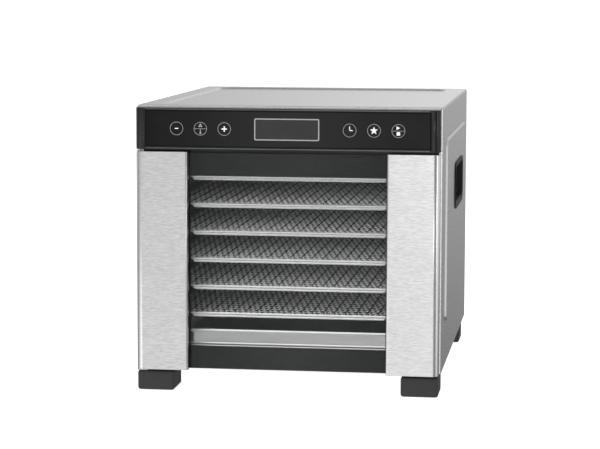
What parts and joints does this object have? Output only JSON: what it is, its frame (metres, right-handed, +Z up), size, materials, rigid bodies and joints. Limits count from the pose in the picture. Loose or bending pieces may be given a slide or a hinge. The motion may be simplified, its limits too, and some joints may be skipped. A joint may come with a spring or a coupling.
{
  "type": "box food dehydrator",
  "caption": "Steel box food dehydrator with a side-hinged glass door, sliding mesh trays, a drip tray, a touch control panel and a rear fan and heater.",
  "frame": {"origin": "on the plane under the feet, at the centre of the footprint", "axes": "+Z up, the door and the controls face -Y, +X is the right-hand side seen from the front"},
  "size_m": [0.352, 0.45, 0.323],
  "materials": {
    "brushed_steel": "fine horizontal brushing",
    "polished_steel": "smooth sheet",
    "mesh_steel": "bright wire and strip",
    "zinc_steel": "zinc plated",
    "black_gloss": "back-printed black glass",
    "black_plastic": "satin moulding",
    "foot_rubber": "matt",
    "door_glass": "lightly tinted, with black printed bands at the top and the bottom",
    "board_green": "circuit board",
    "display_dark": "unlit display",
    "fan_blade": "stamped",
    "printed_marks": "pale printed ink",
    "heater_sheath": "heat-darkened"
  },
  "bodies": {
    "housing": {"casing": "brushed_steel", "base_plate": "zinc_steel", "rear_panel": "brushed_steel", "rear_screw_lower_left": "zinc_steel", "rear_screw_lower_right": "zinc_steel", "rear_screw_upper_left": "zinc_steel", "rear_screw_upper_right": "zinc_steel", "foot_front_left": "foot_rubber", "foot_front_right": "foot_rubber", "foot_rear_left": "foot_rubber", "foot_rear_right": "foot_rubber", "foot_screw_front_left": "zinc_steel", "foot_screw_front_right": "zinc_steel", "foot_screw_rear_left": "zinc_steel", "foot_screw_rear_right": "zinc_steel", "control_frame": "black_plastic", "control_glass": "black_gloss", "display_module": "display_dark", "control_board": "board_green", "power_board": "board_green", "hand_grip_left": "black_plastic", "hand_grip_right": "black_plastic", "front_frame": "black_plastic", "catch_plate": "zinc_steel", "chamber_floor": "polished_steel", "chamber_top": "polished_steel", "chamber_side_left": "polished_steel", "chamber_side_right": "polished_steel", "chamber_back": "polished_steel", "tray_rack_left": "polished_steel", "tray_rack_right": "polished_steel", "rear_bulkhead": "zinc_steel", "fan_motor": "zinc_steel", "heating_element": "heater_sheath", "thermal_cutout": "black_plastic", "air_sensor": "zinc_steel", "mains_inlet": "black_plastic", "hinge_pin_upper": "zinc_steel", "hinge_bracket": "zinc_steel"},
    "door": {"door_strip_left": "brushed_steel", "door_strip_right": "brushed_steel", "door_stile_left": "black_plastic", "door_stile_right": "black_plastic", "door_glass": "door_glass", "door_magnet": "zinc_steel"},
    "fan": {"fan_rotor": "fan_blade", "motor_shaft": "zinc_steel"},
    "drip_tray": {"drip_tray": "polished_steel"},
    "tray_1": {"tray_frame_1": "mesh_steel", "tray_mesh_1": "mesh_steel"},
    "tray_2": {"tray_frame_2": "mesh_steel", "tray_mesh_2": "mesh_steel"},
    "tray_3": {"tray_frame_3": "mesh_steel", "tray_mesh_3": "mesh_steel"},
    "tray_4": {"tray_frame_4": "mesh_steel", "tray_mesh_4": "mesh_steel"},
    "tray_5": {"tray_frame_5": "mesh_steel", "tray_mesh_5": "mesh_steel"},
    "tray_6": {"tray_frame_6": "mesh_steel", "tray_mesh_6": "mesh_steel"}
  },
  "joints": [
    {"name": "door_hinge", "type": "hinge", "parent": "housing", "child": "door", "pos_m": [-0.164, -0.218, 0.0242], "axis": [0, 0, -1], "range_deg": [0, 160]},
    {"name": "fan_spin", "type": "hinge", "parent": "housing", "child": "fan", "pos_m": [0, 0.1325, 0.157], "axis": [0, 1, 0], "continuous": true},
    {"name": "tray_1_slide", "type": "slide", "parent": "housing", "child": "tray_1", "axis": [0, -1, 0], "range_m": [0, 0.095]},
    {"name": "tray_2_slide", "type": "slide", "parent": "housing", "child": "tray_2", "axis": [0, -1, 0], "range_m": [0, 0.095]},
    {"name": "tray_3_slide", "type": "slide", "parent": "housing", "child": "tray_3", "axis": [0, -1, 0], "range_m": [0, 0.095]},
    {"name": "tray_4_slide", "type": "slide", "parent": "housing", "child": "tray_4", "axis": [0, -1, 0], "range_m": [0, 0.095]},
    {"name": "tray_5_slide", "type": "slide", "parent": "housing", "child": "tray_5", "axis": [0, -1, 0], "range_m": [0, 0.095]},
    {"name": "tray_6_slide", "type": "slide", "parent": "housing", "child": "tray_6", "axis": [0, -1, 0], "range_m": [0, 0.095]},
    {"name": "drip_tray_slide", "type": "slide", "parent": "housing", "child": "drip_tray", "axis": [0, -1, 0], "range_m": [0, 0.095]}
  ],
  "couplings": [
    {"joint": "tray_1_slide", "follows": "door_hinge", "m_per_rad": 0.034},
    {"joint": "tray_2_slide", "follows": "door_hinge", "m_per_rad": 0.034},
    {"joint": "tray_3_slide", "follows": "door_hinge", "m_per_rad": 0.034},
    {"joint": "tray_4_slide", "follows": "door_hinge", "m_per_rad": 0.034},
    {"joint": "tray_5_slide", "follows": "door_hinge", "m_per_rad": 0.034},
    {"joint": "tray_6_slide", "follows": "door_hinge", "m_per_rad": 0.034},
    {"joint": "drip_tray_slide", "follows": "door_hinge", "m_per_rad": 0.034}
  ]
}
